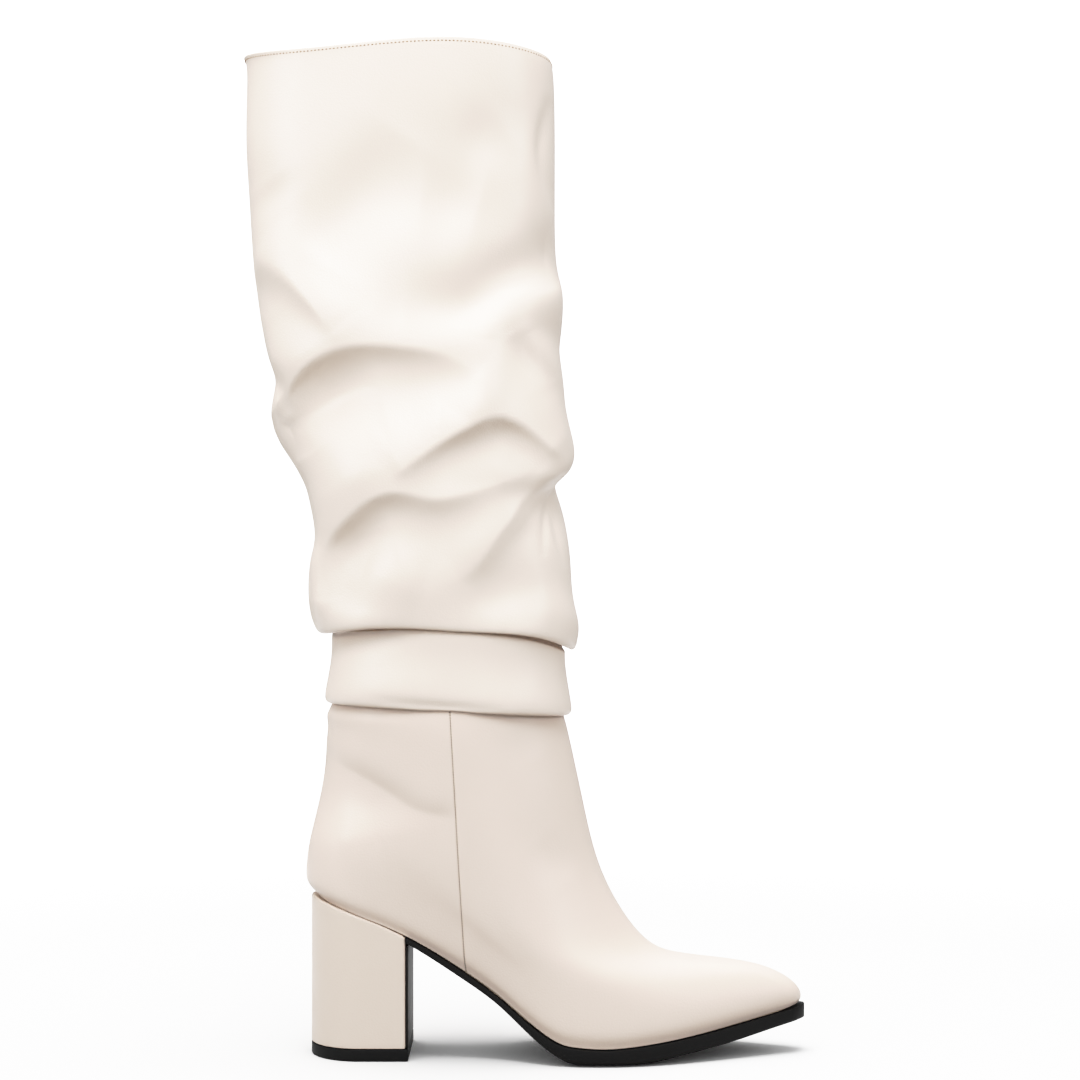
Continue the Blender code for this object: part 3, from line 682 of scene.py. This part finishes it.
# Collar stitches. The shaft's top edge is turned in over a tape, and one row of lock stitches in tan
# polyester thread, sewn through leather and lining, holds it just below the edge.
COLLAR_STITCH_DROP = 1.5
COLLAR_STITCH_PITCH = 1.85
COLLAR_STITCH_LENGTH = 1.2
COLLAR_THREAD_RADIUS = 0.36
below_edge = np.linalg.norm(sleeve - sleeve[-1:], axis=-1).mean(axis=1)
collar_row = np.abs(below_edge - COLLAR_STITCH_DROP).argmin()
collar_line = np.concatenate([sleeve[collar_row], sleeve[collar_row, :1]])
collar_normals = outward_normals(sleeve)[collar_row]
collar_thread = polyester_thread("polyester thread, tan", "#A58A70", "#876D55")
stitch_row(
    "collar_stitches", collar_line, np.concatenate([collar_normals, collar_normals[:1]]),
    COLLAR_STITCH_PITCH, COLLAR_STITCH_LENGTH, COLLAR_THREAD_RADIUS, collar_thread)

# Outsole. Moulded black rubber, cemented under the lasted upper from the heel's breast to the toe,
# thin at the waist and with a softly rounded edge at the forefoot.
HEEL_BREAST = 49.4
SOLE_PROUD = 0.7
SOLE_TOE_PROUD = 1.4
SOLE_EDGE_SHARE = 0.34
SOLE_TREAD_INSET = 9.0
SOLE_TREAD_SHARE = 0.6
SOLE_END_TRIM = 0.2
SOLE_CORNER = 0.5
SOLE_BULGE = 0.2
SOLE_STATIONS = 170
SOLE_FLAT_STEPS = 4
SOLE_CORNER_STEPS = 5
SOLE_WALL_STEPS = 6
SOLE_UNDER_STEPS = 9


def tread_height(x):
    """Underside of the sole, on the floor under the ball."""
    return HEEL_HEIGHT * np.maximum(curve_through(STATION, TREAD, x / LENGTH), 0)


def loft_faces(count, around):
    """Faces of a skin through closed loops of equal size, with both ends capped."""
    index = np.arange(count * around).reshape(count, around)
    on = np.roll(index, -1, axis=1)
    walls = np.stack([index[:-1], on[:-1], on[1:], index[1:]], axis=-1).reshape(-1, 4)
    return [*walls.tolist(), index[0][::-1].tolist(), index[-1].tolist()]


sole_toe = FEATHER_FRONT + SOLE_TOE_PROUD
sole_spread = (1 - np.cos(np.linspace(0, math.pi, SOLE_STATIONS))) / 2
sole_x = mix(HEEL_BREAST + CLEARANCE, sole_toe - SOLE_END_TRIM, sole_spread)[:, None]
sole_proud = SOLE_PROUD * round_end(sole_toe - sole_x, TOE_ROUND)
sole_half = last_half_width(sole_x, FEATHER_BACK, sole_toe) + sole_proud
tread_half = np.maximum(sole_half - SOLE_TREAD_INSET, sole_half * SOLE_TREAD_SHARE)
sole_top, sole_under = feather_height(sole_x), tread_height(sole_x)
sole_edge = mix(sole_under, sole_top, SOLE_EDGE_SHARE)
flat = np.linspace(0, 1, SOLE_FLAT_STEPS)[None, 1:-1]
corner = np.linspace(0, math.pi / 2, SOLE_CORNER_STEPS)[None]
wall = np.linspace(0, 1, SOLE_WALL_STEPS)[None, 1:]
under = np.linspace(0, math.pi / 2, SOLE_UNDER_STEPS)[None, 1:]
sole_side_y = np.concatenate([
    (sole_half - SOLE_CORNER) * flat,
    sole_half - SOLE_CORNER * (1 - np.sin(corner)),
    sole_half + SOLE_BULGE * np.sin(math.pi * wall),
    tread_half + (sole_half - tread_half) * np.cos(under),
    tread_half * (1 - flat)], axis=1)
sole_side_z = np.concatenate([
    sole_top + 0 * flat,
    sole_top - SOLE_CORNER * (1 - np.cos(corner)),
    mix(sole_top - SOLE_CORNER, sole_edge, wall),
    sole_edge - (sole_edge - sole_under) * np.sin(under),
    sole_under + 0 * flat], axis=1)
sole_y = np.concatenate([sole_side_y, -sole_side_y[:, ::-1]], axis=1) + sole_middle(sole_x)
sole_z = np.concatenate([sole_side_z, sole_side_z[:, ::-1]], axis=1)
sole_loops = np.stack([np.broadcast_to(sole_x, sole_y.shape), sole_y, sole_z], axis=-1)

# Moulded rubber: black, matt, with the fine spark-eroded grit of its mould. The grit is about 0.2 mm
# and is drawn at 0.5 mm.
MOULD_GRIT = 0.5
MOULD_GRIT_DEPTH = 0.1
RUBBER_BLOOM = 25.0


def moulded_rubber(name, pale, deep, roughness):
    material, tree, place = new_material(name)
    bloom = add_node(tree, "TexNoise", {"Vector": place, "Scale": 1 / (RUBBER_BLOOM * MM), "Detail": 4.0})
    tint = add_node(tree, "MixRGB", {
        "Fac": bloom.outputs["Fac"], "Color1": linear(deep), "Color2": linear(pale)})
    grit = add_node(tree, "TexNoise", {"Vector": place, "Scale": 1 / (MOULD_GRIT * MM), "Detail": 1.0})
    relief = add_node(tree, "Bump", {
        "Height": grit.outputs["Fac"], "Strength": 0.3, "Distance": MOULD_GRIT_DEPTH * MM})
    shader = add_node(tree, "BsdfPrincipled", {
        "Base Color": tint.outputs["Color"], "Roughness": roughness, "IOR": 1.5,
        "Specular IOR Level": 0.12, "Normal": relief.outputs["Normal"]})
    add_node(tree, "OutputMaterial", {"Surface": shader.outputs["BSDF"]})
    return material


sole_rubber = moulded_rubber("moulded rubber, black sole", "#0F0E0E", "#0A0A0A", 0.6)
outsole = add_piece(
    "rubber_outsole", sole_loops.reshape(-1, 3), loft_faces(SOLE_STATIONS, sole_y.shape[1]), [sole_rubber])
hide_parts("outsole")

# Heel. A block covered in the upper's leather, which is drawn round the back from breast to breast
# and folded in at the rim. It is screwed to the heel seat from inside.
HEEL_BACK = 2.0
HEEL_ROUND = 25.0
HEEL_HALF_WIDTH = 27.2
HEEL_FOOT_TAPER = 0.97
HEEL_CORNER = 1.0
HEEL_RIM = 1.2
HEEL_FOOT_RIM = 0.4
HEEL_LEVELS = 24
HEEL_ARC_STEPS = 28
HEEL_SIDE_STEPS = 7
HEEL_CORNER_STEPS = 4
HEEL_RIM_STEPS = 6
TOP_PIECE_HEIGHT = 5.8


def heel_plan(breast):
    """The heel's outline from above: a round back and a flat breast with softened corners."""
    turn = np.linspace(0, math.pi / 2, HEEL_ARC_STEPS)
    arc = np.stack([HEEL_BACK + HEEL_ROUND * (1 - np.cos(turn)), HEEL_HALF_WIDTH * np.sin(turn)], 1)
    side_x = np.linspace(HEEL_BACK + HEEL_ROUND, breast - HEEL_CORNER, HEEL_SIDE_STEPS + 1)[1:]
    side = np.stack([side_x, np.full(HEEL_SIDE_STEPS, HEEL_HALF_WIDTH)], 1)
    bend = np.linspace(0, math.pi / 2, HEEL_CORNER_STEPS + 1)[1:]
    bend_middle = (breast - HEEL_CORNER, HEEL_HALF_WIDTH - HEEL_CORNER)
    corner = bend_middle + HEEL_CORNER * np.stack([np.sin(bend), np.cos(bend)], 1)
    front_y = np.linspace(HEEL_HALF_WIDTH - HEEL_CORNER, 0, HEEL_SIDE_STEPS + 1)[1:]
    front = np.stack([np.full(HEEL_SIDE_STEPS, breast), front_y], 1)
    half = np.concatenate([arc, side, corner, front])
    return np.concatenate([half * (1, -1), half[-2:0:-1]])


def block_loops(plan, insets, heights):
    """Loops up a block: its outline drawn in by each inset, at heights that may vary round it."""
    along = np.roll(plan, -1, axis=0) - np.roll(plan, 1, axis=0)
    out = np.stack([along[:, 1], -along[:, 0]], 1) / np.linalg.norm(along, axis=1, keepdims=True)
    drawn = plan - np.asarray(insets, float)[:, None, None] * out
    heights = np.broadcast_to(heights, drawn.shape[:2])
    return np.concatenate([drawn, heights[..., None]], axis=-1)


plan = heel_plan(HEEL_BREAST)
rim_turn = np.linspace(0, math.pi / 2, HEEL_RIM_STEPS)
foot_inset, foot_lift = HEEL_FOOT_RIM * (1 - np.sin(rim_turn)), HEEL_FOOT_RIM * (1 - np.cos(rim_turn))
rim_inset, rim_drop = HEEL_RIM * (1 - np.cos(rim_turn)), HEEL_RIM * (1 - np.sin(rim_turn))
heel_foot, heel_top = TOP_PIECE_HEIGHT + CLEARANCE, feather_height(plan[:, 0])[None]
wall_share = np.linspace(0, 1, HEEL_LEVELS)[1:-1, None]
heel_heights = np.concatenate([
    heel_foot + foot_lift[:, None] + 0 * heel_top,
    mix(heel_foot + HEEL_FOOT_RIM, heel_top - HEEL_RIM, wall_share),
    heel_top - rim_drop[:, None]])
heel_insets = np.concatenate([foot_inset, np.zeros(HEEL_LEVELS - 2), rim_inset])
heel_loops = block_loops(plan, heel_insets, heel_heights)
heel_loops[..., 1] *= mix(HEEL_FOOT_TAPER, 1, (heel_loops[..., 2] - heel_foot) / (heel_top - heel_foot))
# The heel's copy of the upper's leather is the darkest tone of the three: painted shade, for the light
# falling off near the floor.
heel_leather_shaded_tone = coated_leather("coated leather, cream heel cover, painted deeper shade tone", "#D8C8BA", "#D4C3B4")
heel = add_piece(
    "covered_heel", heel_loops.reshape(-1, 3), loft_faces(*heel_loops.shape[:2]), [heel_leather_shaded_tone])
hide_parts("heel_block")

# Heel breast cover. A flap of black rubberised fibre, the tail of the sole, glued down the flat front
# of the heel to the top piece. Its rounded edges show as a dark stripe beside the leather.
COVER_THICK = 1.0
COVER_INSET = 1.2
COVER_EDGE = 0.3
COVER_SIDE_ENDS = (0.01, 0.99)
COVER_SIDE_POINTS = 24
PLATE_EDGE_STEPS = 4


def plate_profile(thick, edge):
    """Insets and heights up a plate whose two rims are rounded over."""
    turn = np.linspace(0, math.pi / 2, PLATE_EDGE_STEPS)
    inset, lift = 1 - np.sin(turn), 1 - np.cos(turn)
    return edge * np.concatenate([inset, lift]), np.concatenate([edge * lift, thick - edge * inset])


cover_back = HEEL_BREAST + CLEARANCE
cover_top = tread_height(np.array(cover_back + COVER_THICK)) - CLEARANCE
cover_half = HEEL_HALF_WIDTH - COVER_INSET
cover_corners = np.array([
    (-cover_half, cover_top), (-cover_half * HEEL_FOOT_TAPER, heel_foot),
    (cover_half * HEEL_FOOT_TAPER, heel_foot), (cover_half, cover_top)])
cover_plan = np.concatenate([
    mix(a, b, np.linspace(*COVER_SIDE_ENDS, COVER_SIDE_POINTS)[:, None])
    for a, b in zip(cover_corners, np.roll(cover_corners, -1, axis=0))])
cover_insets, cover_rise = plate_profile(COVER_THICK, COVER_EDGE)
cover_loops = block_loops(cover_plan, cover_insets, cover_back + cover_rise[:, None])[..., [2, 0, 1]]
cover_fibre = moulded_rubber("rubberised fibre, black flap", "#171310", "#0F0C0B", 0.5)
cover = add_piece(
    "breast_flap", cover_loops.reshape(-1, 3), loft_faces(*cover_loops.shape[:2]), [cover_fibre])
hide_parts("heel_breast_cover")

# Heel top piece. A slab of hard black rubber, cut to the heel's foot and pinned under it, with its rims
# rounded over. It is what the heel stands and wears on.
TOP_PIECE_EDGE = 0.5
slab_plan = heel_plan(cover_back + COVER_THICK) * (1, HEEL_FOOT_TAPER)
slab_insets, slab_heights = plate_profile(TOP_PIECE_HEIGHT, TOP_PIECE_EDGE)
slab_loops = block_loops(slab_plan, slab_insets, slab_heights[:, None])
top_piece_rubber = moulded_rubber("moulded rubber, hard black top piece", "#0F0F0F", "#0A0A0A", 0.6)
top_piece = add_piece(
    "top_piece_slab", slab_loops.reshape(-1, 3), loft_faces(*slab_loops.shape[:2]), [top_piece_rubber])
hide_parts("heel_top_piece")

# Floor and light. A round sheet of matt white board, whose rim is lit up to the white of a paper
# backdrop, under a pale sky, with a large soft box overhead and smaller ones in front, behind and beside.
FLOOR_RADIUS = 1.0
FLOOR_CLEAR = 0.4
FLOOR_SIDES = 96
BACKDROP_RADIUS = 12.0
SKY_ABOVE = 1.02
SKY_BELOW = 0.04
BACKDROP_STRENGTH = 3.0
floor_turn = np.linspace(0, math.tau, FLOOR_SIDES, endpoint=False)
floor_mesh = bpy.data.meshes.new("floor")
floor_mesh.from_pydata(
    [(FLOOR_RADIUS * math.cos(a), FLOOR_RADIUS * math.sin(a), 0.0) for a in floor_turn], [],
    [tuple(range(FLOOR_SIDES))])
floor_board, tree, place = new_material("matt white board")
outwards = add_node(tree, "VectorMath", {"Vector": place}, operation="LENGTH")
rim = add_node(tree, "MapRange", {
    "Value": outwards.outputs["Value"], "From Min": FLOOR_CLEAR, "From Max": FLOOR_RADIUS},
    interpolation_type="SMOOTHSTEP")
board = add_node(tree, "BsdfDiffuse", {"Color": linear("#F7F7F7")})
lit_rim = add_node(tree, "Emission", {"Color": linear("#FFFFFF"), "Strength": BACKDROP_STRENGTH})
blend = add_node(tree, "MixShader", {"Fac": rim.outputs["Result"]})
tree.links.new(board.outputs["BSDF"], blend.inputs[1])
tree.links.new(lit_rim.outputs["Emission"], blend.inputs[2])
add_node(tree, "OutputMaterial", {"Surface": blend.outputs["Shader"]})
floor_mesh.materials.append(floor_board)
floor = bpy.data.objects.new("floor", floor_mesh)
floor.visible_diffuse = False

backdrop_paper, tree, place = new_material("white backdrop paper")
paper = add_node(tree, "Emission", {"Color": linear("#FFFFFF"), "Strength": BACKDROP_STRENGTH})
add_node(tree, "OutputMaterial", {"Surface": paper.outputs["Emission"]})
backdrop_mesh = bpy.data.meshes.new("backdrop")
skin = bmesh.new()
bmesh.ops.create_icosphere(skin, subdivisions=4, radius=BACKDROP_RADIUS)
skin.to_mesh(backdrop_mesh)
skin.free()
backdrop_mesh.materials.append(backdrop_paper)
backdrop = bpy.data.objects.new("backdrop", backdrop_mesh)
for ray in ("diffuse", "glossy", "transmission", "volume_scatter", "shadow"):
    setattr(backdrop, "visible_" + ray, False)
for stage_piece in (floor, backdrop):
    bpy.context.scene.collection.objects.link(stage_piece)

sky = bpy.data.worlds.new("white sky, dimmer below")
sky.use_nodes = True
heading = add_node(sky.node_tree, "TexCoord").outputs["Generated"]
upward = add_node(sky.node_tree, "SeparateXYZ", {"Vector": heading})
glow = add_node(sky.node_tree, "MapRange", {
    "Value": upward.outputs["Z"], "From Min": -1.0, "From Max": 1.0,
    "To Min": SKY_BELOW, "To Max": SKY_ABOVE})
sky_light = sky.node_tree.nodes["Background"].inputs
sky_light["Color"].default_value = linear("#FFFFFF")
sky.node_tree.links.new(glow.outputs["Result"], sky_light["Strength"])
bpy.context.scene.world = sky

# The camera's response: straight in the shades, with a soft shoulder that keeps lit leather off white.
SHOULDER_WHITE = 2.2
SHOULDER = [
    (0.1, 0.09), (0.3, 0.3), (0.6, 0.6), (0.9, 0.78),
    (1.05, 0.85), (1.2, 0.895), (1.35, 0.93), (1.6, 0.965)]
ALL_COLOURS_CURVE = 3
response = bpy.context.scene.view_settings
response.view_transform = "Standard"
response.use_curve_mapping = True
response.curve_mapping.white_level = [SHOULDER_WHITE] * 3
for light_in, light_out in SHOULDER:
    response.curve_mapping.curves[ALL_COLOURS_CURVE].points.new(light_in / SHOULDER_WHITE, light_out)
response.curve_mapping.update()

# Soft boxes: name, place and size in metres, watts, spread in degrees, and whether each one lights the
# floor and the boot.
LOOK_AT = np.array([-0.05, 0.0, 0.42])
SOFT_BOXES = [
    ("soft box, key", (-0.3, -1.15, 1.45), 0.8, 3.6, 70, False, True),
    ("soft box, left", (-1.4, -0.9, 0.75), 0.7, 1.1, 50, False, True),
    ("soft box, right", (1.4, -0.9, 0.75), 0.7, 0.85, 50, False, True),
    ("soft box, rear", (-0.3, 1.25, 1.35), 0.8, 3.0, 70, False, True),
    ("soft box, overhead", (-0.1, -0.1, 2.0), 1.2, 28.0, 180, True, True),
    ("soft box, floor wash", (-0.1, -0.1, 2.0), 1.2, 30.0, 180, True, False),
]


def aim(thing, place, target):
    """Sets a light or the camera at a place, turned to a target."""
    thing.location = place
    away = type(thing.location)(place) - type(thing.location)(target)
    thing.rotation_euler = away.to_track_quat("Z", "Y").to_euler()
    bpy.context.scene.collection.objects.link(thing)


# Flags keep the front, side and rear boxes off the floor and the wash off the boot, so that the shadow
# in the arch stays dark while the floor around it goes up to white.
off_floor = bpy.data.collections.new("all but the floor")
off_floor.objects.link(floor)
off_floor.collection_objects[0].light_linking.link_state = "EXCLUDE"
on_floor = bpy.data.collections.new("the floor alone")
on_floor.objects.link(floor)
for name, place, size, watts, spread, lights_floor, lights_boot in SOFT_BOXES:
    light = bpy.data.lights.new(name, "AREA")
    light.size = size
    light.energy = watts
    light.spread = math.radians(spread)
    box = bpy.data.objects.new(name, light)
    if not lights_floor:
        box.light_linking.receiver_collection = off_floor
    if not lights_boot:
        box.light_linking.receiver_collection = on_floor
    aim(box, place, LOOK_AT)

# Camera. Level with the middle of the boot and square to its outer side, as far off as the photograph.
CAMERA_DISTANCE = 1200.0
CAMERA_X = 114.6
CAMERA_HEIGHT = 252.2
FRAME_FOCAL = 2429.0
FRAME_SIDE = 1080.0
SENSOR_WIDTH = 36.0
STRAIGHT_AHEAD = (0.0, 1.0, 0.0)
lens = bpy.data.cameras.new("camera")
lens.sensor_width = SENSOR_WIDTH
lens.lens = SENSOR_WIDTH * FRAME_FOCAL / FRAME_SIDE
camera_place = np.array([CAMERA_X, -CAMERA_DISTANCE, CAMERA_HEIGHT]) * MM + ORIGIN
camera = bpy.data.objects.new("camera", lens)
aim(camera, camera_place, camera_place + STRAIGHT_AHEAD)
bpy.context.scene.camera = camera
